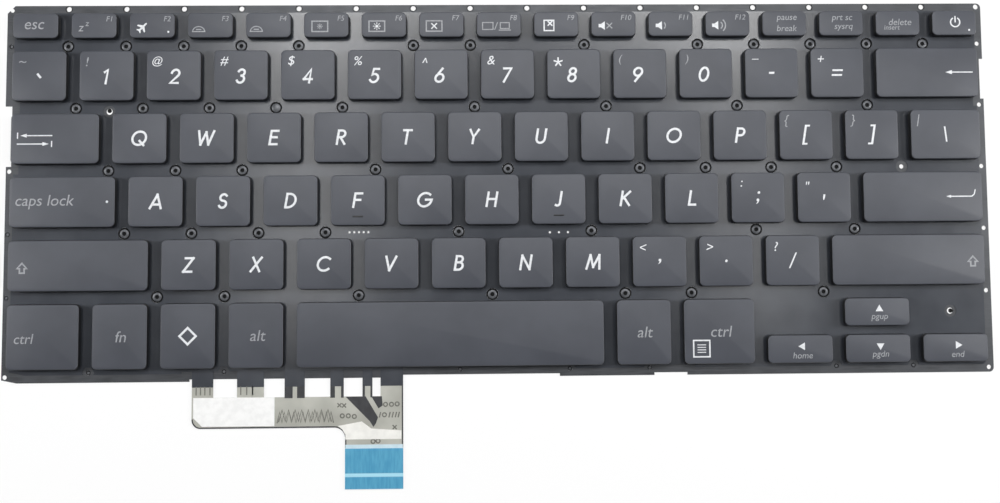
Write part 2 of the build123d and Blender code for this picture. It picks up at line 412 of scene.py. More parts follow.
def pierced_sheet(name, sheet_loops, low, high):
    """Flat sheet between two heights, from an outer loop and hole loops."""
    points, outlines = [], []
    for loop in sheet_loops:
        outlines.append(list(range(len(points), len(points) + len(loop))))
        points += turned_left(loop)
    corners, _, triangles, _, _, inside = delaunay_2d_cdt(points, [], outlines, 1, weld / mm)
    build = bmesh.new()
    bottom, top = ([build.verts.new((p.x * mm, p.y * mm, z)) for p in corners] for z in (low, high))
    sides = Counter()
    for triangle in (t for t, owners in zip(triangles, inside) if list(owners) == [0]):
        build.faces.new([top[i] for i in triangle])
        build.faces.new([bottom[i] for i in reversed(triangle)])
        sides.update(tuple(sorted((triangle[i - 1], triangle[i]))) for i in range(3))
    for a, b in (pair for pair, uses in sides.items() if uses == 1):
        build.faces.new([bottom[a], bottom[b], top[b], top[a]]).smooth = True
    bmesh.ops.delete(build, geom=[vert for vert in build.verts if not vert.link_faces], context="VERTS")
    return mesh_from(build, name)


def is_round(loop):
    """Whether a loop stands for a drilled hole, and not for a window with four corners."""
    x, y, radius = hole(loop)
    return len(loop) > 4 and all(hypot(px - x, py - y) > round_share * radius for px, py in loop)


def drilled(sheet_loops):
    """Inner loops, with the drilled ones made round."""
    return [ring_points(*hole(loop)) if is_round(loop) else loop for loop in sheet_loops]


plate_holes = [hole(loop) for loop in plate_loops[1:] if is_round(loop)]
windows = [loop for loop in film_loops[1:] if not is_round(loop)]
print("drilled holes in the plate:", len(plate_holes), "windows in the film:", len(windows))

# %% [markdown]
# The plate is thin steel with a dark coat. The coat is slightly rough and shows long faint rolling marks.
# Holes that rivets close are cut wider here, so that each rivet brings its own groove, whose near-black
# finish is painted shade.

# %% Base plate
def coated_steel():
    finish = Finish("coated_steel")
    rolling = finish.noise(0.4, 3.0, (0.08, 1, 1))
    coat = finish.blend(finish.noise(6), (52, 54, 57), (62, 64, 68))
    colour = finish.mix(finish.spread(rolling, 0, 0.35), coat, linear(80, 82, 86))
    return finish.surface(colour, rolling, (0.36, 0.52), 0.006, {"Metallic": 0.35})


rim_reach = 4 * mm
widest_rivet_hole = 0.8 * mm
rivet_seat = 1.72 * mm
left_open = (116.7, 5.5)
pin_holes = [(-43.15 + 1.35 * i, -12.5) for i in range(5)] + [(14.25 + 2.6 * i, -12.9) for i in range(3)]
pin_radius = 0.33 * mm
pin_steps = 16
near = 1


def is_riveted(x, y, radius):
    """Whether a rivet closes this hole: those along the rim, the screw holes and one more are left open."""
    rim = min(x - plate_low.x, plate_high.x - x, y - plate_low.y, plate_high.y - y) < rim_reach
    is_open = hypot(x / mm - left_open[0], y / mm - left_open[1]) < near
    return radius < widest_rivet_hole and not rim and not is_open


rivet_places = [(x, y) for x, y, radius in plate_holes if is_riveted(x, y, radius)]
open_loops = [loop for loop in plate_loops[1:] if not is_riveted(*hole(loop))]
pin_loops = [ring_points(x * mm, y * mm, pin_radius, pin_steps) for x, y in pin_holes]
steel = coated_steel()
plate_sheet = [plate_loops[0]] + drilled(open_loops) + pin_loops
plate_sheet += [ring_points(x, y, rivet_seat) for x, y in rivet_places]
plate_mesh = pierced_sheet("base_plate_sheet", plate_sheet, plate_low.z, plate_high.z)
add_piece("base_plate_sheet", plate_mesh, [steel], "base", "plate", "base_plate")
print("base plate", len(plate_mesh.polygons), "faces")

# %% [markdown]
# The membrane is a stack of printed films. On the plate it carries a black coat with a satin shine. The coat
# ends on the tail's fingers, and from there the bare film is light grey. It is one sheet, so one material
# changes colour across that line.

# %% Membrane
coat_end = -56.1


def coated_film():
    finish = Finish("coated_film")
    patches = finish.noise(9)
    coat = finish.blend(patches, (56, 59, 65), (64, 67, 73))
    bare = finish.blend(patches, (163, 163, 155), (182, 182, 174))
    on_tail = finish.band(1, film_low.y / mm - 1, coat_end)
    return finish.surface(finish.mix(on_tail, coat, bare), finish.noise(0.10), (0.16, 0.26), 0.003)


film = coated_film()
film_sheet = [film_loops[0]] + drilled(film_loops[1:]) + pin_loops
film_mesh = pierced_sheet("membrane_film", film_sheet, film_low.z, film_high.z)
add_piece("membrane_film", film_mesh, [film], "base", "film", "membrane")
print("membrane", len(film_mesh.polygons), "faces")

# %% [markdown]
# ## Rivets
# Between the keys the plate is closed by small hollow rivets. From above each is a light ring with a dark
# bore, in a cleared circle of the film with a dark groove all round. A turned profile makes them: it runs
# from the bottom of the bore up and over the head, down into the groove and back under the foot. The bore and
# the groove get a near-black finish, which is painted shade, and one rivet has a closed head. The same
# turning gives the small pins in the rim, with painted shade in their grooves too, rings of painted shade
# round the open rear holes, and dark discs of painted shade in the two screw holes.

# %% Hollow rivets
turn_steps = 24


def turned(build, x, y, profile):
    """Adds a turned shape: (radius, height, finish number of the next stretch), closed on its axis."""
    rings = []
    for radius, height, _ in profile:
        around = ring_points(x, y, radius, turn_steps) if radius else [(x, y)]
        rings.append([(px, py, height) for px, py in around])
    skin(build, rings, [finish for *_, finish in profile], False)


rivet_steel = grained("rivet_steel", (72, 74, 78), (92, 94, 98), 0.8, 0.08, 0.004, 0.40, {"Metallic": 0.3})
# Painted shade: a near-black finish for the bores and grooves of rivets and pins, and for shaded spots in
# holes.
blackened_steel = grained("blackened_steel", (8, 9, 10), (14, 15, 17), 0.6, 0.08, 0.004, 0.60,
                          {"Specular IOR Level": 0.15})
closed_head = (-64.3, 23.5)
head, black = 0, 1
groove_floor = 0.06
rivet_bore = [(0, 0.08, black), (0.56, 0.08, black), (0.56, 0.42, head), (0.66, 0.52, head)]
rivet_crown = [(0, 0.52, head)]
# The groove and the underside take the painted shade.
rivet_rest = [(1.14, 0.52, head), (1.28, 0.43, black), (1.31, groove_floor, black),
              (1.71, groove_floor, black), (1.71, 0, black), (0, 0, black)]
rim_pin = [(0, 0.36, head), (0.36, 0.36, head), (0.42, 0.30, black), (0.44, groove_floor, black),
           (0.64, groove_floor, black), (0.64, 0, black), (0, 0, black)]
rim_pin_lines = (41.5, -12.5, -30.5)
# Painted shade: a thin dark ring round each open rear hole.
rim_shade_ring = [(0.78, 0.39, black), (0.80, 0.415, black), (1.00, 0.415, black), (1.02, 0.39, black),
            (0.78, 0.39, black)]
# Painted shade: a dark disc set off-centre in each screw hole, where the hole lies in shade.
screw_hole_shade = [(0, 0.12, black), (0.58, 0.12, black), (0.62, 0.08, black), (0.62, 0, black), (0, 0, black)]
screw_offsets = ((-0.05, 0.26), (0.27, 0))
corner_reach = 8 * mm


def in_mm(profile):
    return [(radius * mm, height * mm, finish) for radius, height, finish in profile]


def takes_pin(x, y):
    """Whether a plain pin closes this rim hole: three on the left, and those in the front edge."""
    on_left = x - plate_low.x < rim_reach and any(abs(y / mm - line) < near for line in rim_pin_lines)
    in_front = y - plate_low.y < rim_reach and abs(x) < plate_high.x - corner_reach
    return on_left or in_front


build = bmesh.new()
for x, y in rivet_places:
    is_closed = hypot(x / mm - closed_head[0], y / mm - closed_head[1]) < near
    turned(build, x, y, in_mm((rivet_crown if is_closed else rivet_bore) + rivet_rest))
for x, y, _ in plate_holes:
    if takes_pin(x, y):
        turned(build, x, y, in_mm(rim_pin))
    elif plate_high.y - y < rim_reach and abs(x) < plate_high.x - corner_reach:
        turned(build, x, y, in_mm(rim_shade_ring))
screws = sorted((x, y) for x, y, radius in plate_holes if radius > widest_rivet_hole)
for (x, y), (right, back) in zip(screws, screw_offsets):
    turned(build, x + right * mm, y + back * mm, in_mm(screw_hole_shade))
bmesh.ops.remove_doubles(build, verts=build.verts, dist=weld)
rivet_mesh = mesh_from(build, "rivets")
add_piece("rivets", rivet_mesh, [rivet_steel, blackened_steel], "base", "plate")
print("rivets", len(rivet_places))

# %% [markdown]
# ## Under the keys
# A rubber dome and two crossed scissor frames lift each key, and a bent wire keeps a wide key level. They
# show only from the side. The dome is turned from a soft profile inside its solid. Frames and wires are the
# CAD solids themselves with rounded edges, because their shape is right and only their edges are hard.

# %% Domes, scissor frames and wires
rubber = grained("dome_rubber", (150, 152, 150), (172, 174, 170), 2.0, 0.08, 0.004, 0.55,
                 {"Subsurface Weight": 0.15, "Subsurface Radius": (0.001, 0.001, 0.001)})
black_plastic = grained("frame_plastic", (26, 27, 29), (38, 39, 42), 1.5, 0.06, 0.004, 0.5)
bright_wire = grained("wire_steel", (150, 151, 153), (186, 187, 190), 1.0, 0.1, 0.003, 0.3, {"Metallic": 1.0})
level_angle = 1
hard_angle = 30
pivot_radius = 0.22 * mm
pivot_steps = 12
pivot_start = 0.2 * mm
pivot_end = 0.15 * mm


def add_dome(build, solid):
    """A rubber dome with a foot, a thin bending wall and a flat head, inside a dome solid's box."""
    base = (solid.high.x - solid.low.x) / 2
    low = solid.low.z
    rise = solid.high.z - low
    crown = base * 0.62 if base > 1.5 * mm else base * 0.5
    foot = [(0, 0), (base * 0.97, 0), (base, 0.05), (base * 0.98, 0.10), (base * 0.86, 0.16)]
    bend = [(base * 0.84, 0.30), (crown * 1.12, 0.72)]
    top = [(crown, 0.80), (crown, 0.95), (crown * 0.92, 1), (0, 1)]
    profile = [(radius, low + share * rise, 0) for radius, share in foot + bend + top]
    turned(build, solid.middle.x, solid.middle.y, profile)


def add_rounded(build, solid, radius, steps):
    """A copy of a solid with its hard edges rounded."""
    part = bmesh.new()
    verts = [part.verts.new(point) for point in solid.points]
    for face in solid.faces:
        part.faces.new([verts[i] for i in face])
    bmesh.ops.recalc_face_normals(part, faces=part.faces)
    bmesh.ops.dissolve_limit(part, angle_limit=radians(level_angle), verts=part.verts, edges=part.edges)
    hard = [edge for edge in part.edges if edge.is_manifold and edge.calc_face_angle(0) > radians(hard_angle)]
    bmesh.ops.bevel(part, geom=hard, offset=radius, segments=steps, affect="EDGES", profile=0.5)
    for face in part.faces:
        face.smooth = True
    keep = bpy.data.meshes.new("rounded")
    part.to_mesh(keep)
    part.free()
    build.from_mesh(keep)
    bpy.data.meshes.remove(keep)


def add_pivots(build, outer, inner):
    """The two pins on which an inner frame turns in its outer one."""
    around = ring_points(outer.middle.x, outer.middle.z, pivot_radius, pivot_steps)
    for ends in ((inner.low.y + pivot_start, outer.low.y + pivot_end),
                 (inner.high.y - pivot_start, outer.high.y - pivot_end)):
        skin(build, [[(px, y, pz) for px, pz in around] for y in ends])


domes = solids("rubber_domes")
outer_frames = solids("scissor_outer_frames")
inner_frames = solids("scissor_inner_frames")
wires = solids("stabiliser_wires")
print("domes", len(domes), "frames", len(outer_frames), len(inner_frames), "wires", len(wires))

# %% [markdown]
# A pressed key pushes its dome and frames flat. Each moving key therefore has its own dome and scissor piece,
# with a mesh of its own. Keys in the two fixed rows share one piece per row.

# %% Lifts for one or more keys
frame_round = 0.10 * mm
wire_round = 0.22 * mm


def within(low, high):
    """Test whether a solid stands under the key with this box."""
    return lambda solid: low.x < solid.middle.x < high.x and low.y < solid.middle.y < high.y


lift_kinds = {
    "dome": (rubber, "dome", ["rubber_domes"]),
    "scissor": (black_plastic, "frame", ["scissor_outer_frames", "scissor_inner_frames"]),
    "wire": (bright_wire, "wire", ["stabiliser_wires"]),
}


def lift_pieces(name, boxes):
    """Dome, scissor and wire pieces under the keys with these boxes."""
    builds = {kind: bmesh.new() for kind in lift_kinds}
    for low, high in boxes:
        under = within(low, high)
        for solid in filter(under, domes):
            add_dome(builds["dome"], solid)
        for outer, inner in zip(filter(under, outer_frames), filter(under, inner_frames)):
            add_rounded(builds["scissor"], outer, frame_round, 2)
            add_rounded(builds["scissor"], inner, frame_round, 2)
            add_pivots(builds["scissor"], outer, inner)
        for solid in filter(under, wires):
            add_rounded(builds["wire"], solid, wire_round, 3)
    made = []
    for kind, (finish, slot, nodes) in lift_kinds.items():
        if builds[kind].faces:
            mesh = mesh_from(builds[kind], f"{name}_{kind}")
            made.append(add_piece(f"{name}_{kind}", mesh, [finish], "base", slot, *nodes))
        else:
            builds[kind].free()
    return made


# %% [markdown]
# ## Keycaps
# A cap is a shallow tray turned upside down: drafted walls, small round corners, a softly rounded upper edge
# and a flat top. It is lofted through rounded rectangles, from the roof of its hollow, down the inner wall,
# round the skirt, up the outside and over the edge. A bevel on a box would do too, but the loft gives each
# ring its own inset, and a value that tells the finish how far the surface faces up.

# %% A lofted keycap
corner_radius = 1.5 * mm
corner_steps = 6
wall = 0.9 * mm
roof = 0.8 * mm
draft_inset = 0.112 * mm
edge_round = 0.30 * mm
edge_steps = 5
skirt_ease = 0.05 * mm
least_radius = 0.4 * mm
ink_height = 0.015 * mm


def rounded_rectangle(width, depth, radius):
    """Points round a rectangle with round corners, about the origin."""
    points = []
    for quarter, (right, back) in enumerate(((1, 1), (-1, 1), (-1, -1), (1, -1))):
        for step in range(corner_steps + 1):
            turn = pi / 2 * (quarter + step / corner_steps)
            points.append((right * (width / 2 - radius) + radius * cos(turn),
                           back * (depth / 2 - radius) + radius * sin(turn)))
    return points


def cap_rings(height):
    """(inset, height, upward share) of each ring of a cap, from the hollow's roof round to the flat top."""
    crown = height - ink_height
    rings = [(wall, height - roof, 0), (wall, skirt_ease, 0), (wall - skirt_ease, 0, 0),
             (skirt_ease, 0, 0), (0, skirt_ease, 0), (draft_inset, crown - edge_round, 0)]
    for step in range(1, edge_steps + 1):
        turn = pi / 2 * step / edge_steps
        inset = draft_inset + edge_round * (1 - cos(turn))
        rings.append((inset, crown - edge_round * (1 - sin(turn)), sin(turn)))
    return rings


def add_loft(build, x, y, rings):
    """Lofts closed rounded rectangles, each (width, depth, radius, height, upward share)."""
    upward = build.verts.layers.float.get("upward") or build.verts.layers.float.new("upward")
    outlines = [[(x + px, y + py, height) for px, py in rounded_rectangle(*sizes)]
                for *sizes, height, _ in rings]
    for ring, (*_, share) in zip(skin(build, outlines), rings):
        for vert in ring:
            vert[upward] = share


def add_cap(build, low, high):
    """A cap inside the box of its solid."""
    middle = (low + high) / 2
    width, depth = high.x - low.x, high.y - low.y
    add_loft(build, middle.x, middle.y, [
        (width - 2 * inset, depth - 2 * inset, max(corner_radius - inset, least_radius), low.z + rise, share)
        for inset, rise, share in cap_rings(high.z - low.z)])


print("rings per cap", len(cap_rings(1.9 * mm)))

# %% [markdown]
# The caps are blue-grey with a fine matt texture. Their walls are painted nearly black, as painted shade
# where little light reaches, and the rounded edge is painted a touch lighter, as a painted highlight.
# The legends are white ink, printed as a very thin layer. Small words and signs have a thinner, greyer ink.

# %% Cap plastic and ink
def cap_plastic():
    finish = Finish("cap_plastic")
    coat = finish.blend(finish.noise(14, 3.0), (59, 62, 70), (66, 69, 77))
    upward = finish.node("Attribute", attribute_name="upward").outputs["Fac"]
    # Painted highlight: the rounded edge, facing partly up, is a touch lighter.
    edge_highlight_coat = finish.mix(finish.spread(upward, 0.3, 0, 0.8, 1), coat, linear(88, 90, 95))
    # Painted shade: where the surface faces sideways, on the walls and inside, the colour goes nearly black.
    colour = finish.mix(finish.spread(upward, 0, 1, 0.2, 0.7), linear(20, 21, 23), edge_highlight_coat)
    return finish.surface(colour, finish.noise(0.07), (0.38, 0.50), 0.006, {"Specular IOR Level": 0.45})


plastic = cap_plastic()
ink = grained("white_ink", (206, 208, 211), (222, 224, 227), 0.8, 0.05, 0.002, 0.5)
pale_ink = grained("thin_ink", (136, 138, 142), (156, 158, 162), 0.5, 0.05, 0.002, 0.5)
print("cap finishes:", plastic.name, ink.name, pale_ink.name)

# %% [markdown]
# ## Legends
# Words and small signs come from Blender's own text object with a slight slant, as on the keys. Large
# letters, arrows and pictures are strokes of even width and filled patches. All become thin slabs of ink,
# drawn in millimetres about the middle of their key, and join the cap's mesh with an ink finish.

# %% Ink from text, strokes and patches
slant = 0.17
capital_share = 0.70
text_steps = 4
slab_step = 0.0002 * mm
mitre_limit = 0.6


def words(text, height, x=0.0, y=0.0, align="middle"):
    """Slabs of a word with capitals so high. The word is centred on (x, y), or starts or ends at x."""
    curve = bpy.data.curves.new("words", "FONT")
    curve.body = text
    curve.size = height / capital_share
    curve.shear = slant
    curve.resolution_u = text_steps
    curve.extrude = 0.5
    maker = bpy.data.objects.new("words", curve)
    mesh = bpy.data.meshes.new_from_object(maker)
    bpy.data.objects.remove(maker)
    across, along, _ = zip(*(v.co for v in mesh.vertices))
    left = {"middle": (min(across) + max(across)) / 2, "start": min(across), "end": max(across)}[align]
    base = (min(along) + max(along)) / 2
    points = [(v.co.x - left + x, v.co.y - base + y, v.co.z + 0.5) for v in mesh.vertices]
    faces = [list(p.vertices) for p in mesh.polygons]
    bpy.data.meshes.remove(mesh)
    return [(points, faces)]


def patch(outline):
    """Slab of a filled outline."""
    count = len(outline)
    points = [(x, y, 0) for x, y in outline] + [(x, y, 1) for x, y in outline]
    sides = [[i, (i + 1) % count, count + (i + 1) % count, count + i] for i in range(count)]
    return [(points, [list(range(count))[::-1], list(range(count, 2 * count))] + sides)]


def stroke(path, width, closed=False, shift=0.0):
    """Slab of a line along points, or shifted to their left, with square ends and mitred corners."""
    path = [Vector(p) for p in path]
    left, right = [], []
    for i, point in enumerate(path):
        first = not closed and i == 0
        last = not closed and i == len(path) - 1
        inward = (path[i + 1] - point if first else point - path[i - 1]).normalized()
        outward = (inward if last else path[(i + 1) % len(path)] - point).normalized()
        across = (inward + outward).normalized().orthogonal()
        mitre = across / max(mitre_limit, across.dot(inward.orthogonal()))
        end = (-inward if first else inward) * width / 2 if first or last else Vector((0, 0))
        left.append(point + end + mitre * (shift + width / 2))
        right.append(point + end + mitre * (shift - width / 2))
    count = len(path)
    points = [(*p, z) for z in (0, 1) for side in (left, right) for p in side]
    around = [[k * count + i for k in (0, 1, 3, 2)] for i in range(count)]
    nexts = around[1:] + (around[:1] if closed else [])
    faces = [[one[k], one[k - 1], two[k - 1], two[k]] for one, two in zip(around, nexts) for k in range(4)]
    return [(points, faces + ([] if closed else [around[0], around[-1]]))]


def faint(marks):
    """The same slabs in the thinner ink of small words."""
    return [(points, faces, 2) for points, faces, *_ in marks]


def add_ink(build, marks, x, y, low, high, finish=1):
    """Puts slabs between two heights about a middle, each a hair lower than the last, as they may cross."""
    for number, (points, faces, *other) in enumerate(marks):
        rise = high - low - number * slab_step
        verts = [build.verts.new((x + px * mm, y + py * mm, low + rise * pz)) for px, py, pz in points]
        for face in faces:
            made = build.faces.new([verts[i] for i in face])
            made.material_index = other[0] if other else finish


print("letters lean by", slant)

# %% [markdown]
# The signs are built from the same strokes: a dot, an open arc, arrows with a solid head, and a few small
# pictures for the function row.

# %% Signs
fine = 0.32
bold = 0.45
head_length = 1.6


def arc(x, y, radius, start, end, steps=14, squeeze=1.0):
    """Points on a round arc, with angles in degrees, narrowed across by squeeze."""
    return [(x + squeeze * radius * cos(radians(start + (end - start) * i / steps)),
             y + radius * sin(radians(start + (end - start) * i / steps))) for i in range(steps + 1)]


def at(x, y, path):
    return [(x + px, y + py) for px, py in path]


def lines(x, y, width, *paths):
    """Strokes along paths that are drawn about (x, y)."""
    return sum((stroke(at(x, y, path), width) for path in paths), [])


def dot(x, y, radius=0.36):
    return patch(arc(x, y, radius, 0, 345, 23))


def rectangle(left, right, low, high):
    return [(left, low), (right, low), (right, high), (left, high)]


def box_line(x, y, width, height, line=fine):
    outline = rectangle(x - width / 2, x + width / 2, y - height / 2, y + height / 2)
    return stroke(outline, line, True)


def line_arrow(path, line=fine, head=0.85):
    """A line whose first point carries a solid arrow head."""
    tip, second = Vector(path[0]), Vector(path[1])
    along = (second - tip).normalized()
    side = along.orthogonal() * head / 2
    foot = tip + along * head * head_length
    return patch([tip[:], (foot + side)[:], (foot - side)[:]]) + stroke([foot[:]] + list(path[1:]), line)


def triangle(x, y, size, turn):
    """Solid arrow, pointing up and then turned by so many degrees."""
    corners = [radians(turn + a) for a in (90, 210, 330)]
    return patch([(x + size * cos(a), y + size * sin(a)) for a in corners])


def shift_sign(x, y):
    """Hollow arrow that points up."""
    right_half = [(1.4, -0.1), (0.65, -0.1), (0.65, -1.35)]
    outline = [(0, 1.4)] + right_half + [(-px, py) for px, py in reversed(right_half)]
    return stroke(at(x, y, outline), bold, True)


def menu_sign(x, y):
    rows = [[(-1.1, rise), (1.1, rise)] for rise in (1.05, 0.35, -0.35, -1.05)]
    return box_line(x, y, 4.6, 4.6, 0.4) + lines(x, y, 0.24, *rows)


def speaker(x, y):
    body = [(-1.4, -0.5), (-0.7, -0.5), (0.4, -1.25), (0.4, 1.25), (-0.7, 0.5), (-1.4, 0.5)]
    return patch(at(x, y, body))


def cross(x, y, size, line=fine):
    return lines(x, y, line, [(-size, -size), (size, size)], [(-size, size), (size, -size)])


def sun(x, y, size):
    inner, outer = (arc(x, y, share * size, 0, 315, 7) for share in (0.8, 1.2))
    rays = [stroke(ends, 0.2) for ends in zip(inner, outer)]
    return sum(rays, []) + dot(x, y, 0.5 * size)


def plane_sign(x, y, size=0.85):
    """Small aircraft flying to the upper right."""
    half = [(2.0, 0), (1.5, 0.32), (0.5, 0.32), (-0.5, 1.7), (-1.0, 1.7), (-0.5, 0.32), (-1.3, 0.3),
            (-1.8, 0.85), (-2.15, 0.85), (-1.85, 0)]
    outline = half + [(px, -py) for px, py in half[-2:0:-1]]
    c = cos(radians(45))
    return patch([(x + c * size * (px - py), y + c * size * (px + py)) for px, py in outline])


def power_sign(x, y):
    return stroke(arc(x, y, 1.35, 125, 415, 22), 0.38) + stroke([(x, y + 0.1), (x, y + 1.6)], 0.38)


print("signs ready")

# %% [markdown]
# ## What stands on each key
# The large letters and digits have lines of even width, as if drawn with one pen. So each is a few paths in a
# box one unit high, and one function turns them into strokes that lean like the words.

# %% Letters and digits drawn with a pen of even width
letter_height = 4.45
letter_line = 0.64
glyphs = {
    "A": [[(0, 0), (0.4, 1)], [(0.4, 1), (0.8, 0)], [(0.14, 0.27), (0.66, 0.27)]],
    "B": [[(0, 0), (0, 1)], [(0, 1), *arc(0.24, 0.77, 0.23, 90, -90), (0, 0.54)],
          [(0, 0.54), *arc(0.27, 0.27, 0.27, 90, -90), (0, 0)]],
    "C": [arc(0.5, 0.5, 0.5, 48, 312, 20)],
    "D": [[(0, 0), (0, 1)], [(0, 1), *arc(0.18, 0.5, 0.5, 90, -90, 18), (0, 0)]],
    "E": [[(0.5, 1), (0, 1), (0, 0), (0.52, 0)], [(0, 0.52), (0.45, 0.52)]],
    "F": [[(0.5, 1), (0, 1), (0, 0)], [(0, 0.52), (0.43, 0.52)]],
    "G": [[*arc(0.5, 0.5, 0.5, 50, 360, 24), (0.58, 0.5)]],
    "H": [[(0, 0), (0, 1)], [(0.64, 0), (0.64, 1)], [(0, 0.52), (0.64, 0.52)]],
    "I": [[(0, 0), (0, 1)]],
    "J": [[(0.3, 1), *arc(0.12, 0.18, 0.18, 0, -125)]],
    "K": [[(0, 0), (0, 1)], [(0.55, 1), (0.1, 0.52)], [(0.16, 0.58), (0.62, 0)]],
    "L": [[(0, 1), (0, 0), (0.46, 0)]],
    "M": [[(0, 0), (0.15, 1)], [(0.15, 1), (0.48, 0.12)], [(0.48, 0.12), (0.81, 1)], [(0.81, 1), (0.96, 0)]],
    "N": [[(0, 0), (0, 1)], [(0, 1), (0.68, 0)], [(0.68, 0), (0.68, 1)]],
    "O": [arc(0.5, 0.5, 0.5, 0, 360, 24)],
    "P": [[(0, 0), (0, 1)], [(0, 1), *arc(0.26, 0.74, 0.26, 90, -90), (0, 0.48)]],
    "Q": [arc(0.5, 0.5, 0.5, 0, 360, 24), [(0.56, 0.3), (0.9, -0.02)]],
    "R": [[(0, 0), (0, 1)], [(0, 1), *arc(0.26, 0.75, 0.25, 90, -90), (0, 0.5)], [(0.22, 0.46), (0.56, 0)]],
    "S": [[*arc(0.28, 0.76, 0.24, 35, 270), *arc(0.28, 0.26, 0.26, 88, -150)]],
    "T": [[(0, 1), (0.56, 1)], [(0.28, 1), (0.28, 0)]],
    "U": [[(0, 1), *arc(0.31, 0.31, 0.31, 180, 360), (0.62, 1)]],
    "V": [[(0, 1), (0.37, 0)], [(0.37, 0), (0.74, 1)]],
    "W": [[(0, 1), (0.27, 0)], [(0.27, 0), (0.56, 0.92)], [(0.56, 0.92), (0.85, 0)], [(0.85, 0), (1.12, 1)]],
    "X": [[(0, 0), (0.64, 1)], [(0.02, 1), (0.62, 0)]],
    "Y": [[(0, 1), (0.31, 0.46), (0.62, 1)], [(0.31, 0.46), (0.31, 0)]],
    "Z": [[(0.02, 1), (0.6, 1)], [(0.6, 1), (0, 0)], [(0, 0), (0.6, 0)]],
    "0": [arc(0.32, 0.5, 0.5, 0, 360, 24, 0.64)],
    "1": [[(0, 0.84), (0.2, 1), (0.2, 0)]],
    "2": [[*arc(0.3, 0.72, 0.28, 170, -35), (0.02, 0), (0.58, 0)]],
    "3": [arc(0.27, 0.76, 0.24, 155, -80), arc(0.27, 0.27, 0.27, 82, -155)],
    "4": [[(0.44, 0), (0.44, 1), (0, 0.25)], [(0, 0.25), (0.6, 0.25)]],
    "5": [[(0.52, 1), (0.15, 1), (0.08, 0.55), *arc(0.25, 0.31, 0.31, 105, -150)]],
    "6": [[(0.42, 1), (0.05, 0.44)], arc(0.3, 0.3, 0.3, 0, 360, 20)],
    "7": [[(0, 1), (0.54, 1), (0.14, 0)]],
    "8": [arc(0.27, 0.77, 0.23, 0, 360, 20), arc(0.27, 0.27, 0.27, 0, 360, 20)],
    "9": [arc(0.3, 0.7, 0.3, 0, 360, 20), [(0.55, 0.56), (0.18, 0)]],
    "`": [[(0, 0.6), (0.2, 0.4)]],
}


def drawn(letter):
    """Slabs of a letter or digit, slanted and centred on its key."""
    rise = letter_height - letter_line
    paths = [[((x + slant * y) * rise, (y - 0.5) * rise) for x, y in path] for path in glyphs[letter]]
    across = [x for path in paths for x, y in path]
    middle = (min(across) + max(across)) / 2
    slabs = []
    for path in paths:
        points = [(x - middle, y) for x, y in path]
        is_ring = hypot(points[0][0] - points[-1][0], points[0][1] - points[-1][1]) < letter_line / 10
        slabs += stroke(points[:-1] if is_ring else points, letter_line, is_ring)
    return slabs


print("drawn letters and digits:", len(glyphs))

# %% [markdown]
# Letters and digits stand in the middle of their cap, the shifted sign in its upper left corner. The signs
# come from the font, apart from the star, which is five strokes. The thinnest ones get the greyer ink.

# %% Legends of the letter and number keys
sign_height = 2.6
sign_inset = 3.1
sign_rise = 4.0
digit_drop = 0.3
off_middle = {"2": 0.3, "6": -0.5, "8": -0.5, "9": -0.5, "0": -0.55}
narrow_signs = "!(){}|"
narrow_shift = 0.8
tall_signs = "@()"
tall_share = 0.82
faint_signs = "~!|{}()"
star_reach = 1.15
star_line = 0.42
star_shift = (0.2, -0.6)


def moved(marks, x, y):
    return [([(px + x, py + y, pz) for px, py, pz in points], *rest) for points, *rest in marks]


def star(x, y):
    """A star of five strokes."""
    tips = arc(x, y, star_reach, 18, 306, 4)
    return sum((stroke([(x, y), tip], star_line) for tip in tips), [])


def pair(width, main, shifted):
    """Main sign in the middle and the shifted one in the upper left corner."""
    centre = drawn(main) if main in glyphs else words(main, letter_height)
    if main.isdigit():
        centre = moved(centre, off_middle.get(main, 0), -digit_drop)
    inset = sign_inset - (narrow_shift if shifted in narrow_signs else 0)
    if shifted == "*":
        return centre + star(inset - width / 2 + star_shift[0], sign_rise + star_shift[1])
    height = sign_height * (tall_share if shifted in tall_signs else 1)
    sign = words(shifted, height, inset - width / 2, sign_rise)
    return centre + (faint(sign) if shifted in faint_signs else sign)


twin_signs = {
    "backtick": "`~", "1": "1!", "2": "2@", "3": "3#", "4": "4$", "5": "5%", "6": "6^", "7": "7&", "8": "8*",
    "9": "9(", "0": "0)", "minus": "-_", "equal": "=+", "left_bracket": "[{", "right_bracket": "]}",
    "backslash": "\\|", "semicolon": ";:", "quote": "'\"", "comma": ",<", "period": ".>", "slash": "/?",
}


def letter_legend(name, width):
    if name in twin_signs:
        return pair(width, *twin_signs[name])
    if len(name) == 1:
        return drawn(name.upper())
    return []


print("keys with two signs:", len(twin_signs))

# %% [markdown]
# Wide keys carry words or arrows near their outer end, and the arrow keys a solid arrow over a small word.
# One key in the front row carries only a plain diamond.

# %% Legends of the wide and front keys
word_height = 3.1
small_word = 1.75


def small(*word):
    """A word in the thinner ink."""
    return faint(words(*word))


def tab_legend(width):
    left = 2.1 - width / 2
    right = left + 9.6
    upper = line_arrow([(left + 0.8, 0.9), (right, 0.9)], fine, 1.1)
    upper += stroke([(left, 0.2), (left, 1.6)], fine)
    lower = line_arrow([(right - 0.8, -1.5), (left, -1.5)], fine, 1.1)
    return upper + lower + stroke([(right, -2.2), (right, -0.8)], fine)


def arrow_key(turn, word):
    return triangle(0.6, 0.75, 1.25, turn) + small(word, small_word, 0.6, -1.8)


